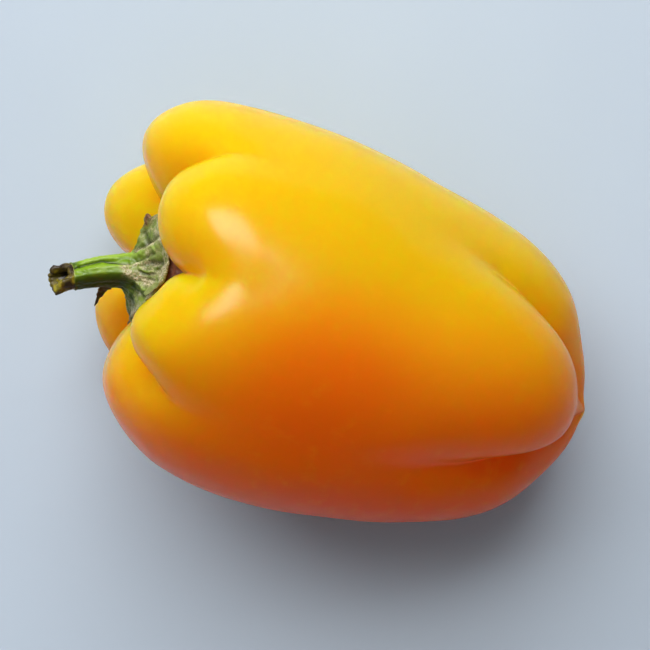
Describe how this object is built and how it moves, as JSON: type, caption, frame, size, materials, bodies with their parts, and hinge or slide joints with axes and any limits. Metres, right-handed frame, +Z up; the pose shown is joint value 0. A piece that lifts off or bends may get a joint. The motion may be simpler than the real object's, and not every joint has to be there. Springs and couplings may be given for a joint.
{
  "type": "bell pepper",
  "caption": "Whole yellow bell pepper as picked, lying on its side, with lobed glossy body, green calyx and a short curved cut stem.",
  "frame": {"origin": "on the resting surface, under the middle of the whole object's box, stem included", "axes": "+Z up as it lies, +X from the stem end towards the blossom end, +Y to the side of the first shoulder lobe"},
  "size_m": [0.1258, 0.0856, 0.0804],
  "materials": {
    "pepper_skin": "glossy waxy yellow vegetable skin",
    "calyx_green": "matte green leaf tissue with tan corky specks and brown dried edges",
    "stem_green": "satin fresh green stem with a dried brown cut end"
  },
  "bodies": {
    "root": {"fruit_body": "pepper_skin", "calyx": "calyx_green", "peduncle": "stem_green"}
  },
  "joints": []
}
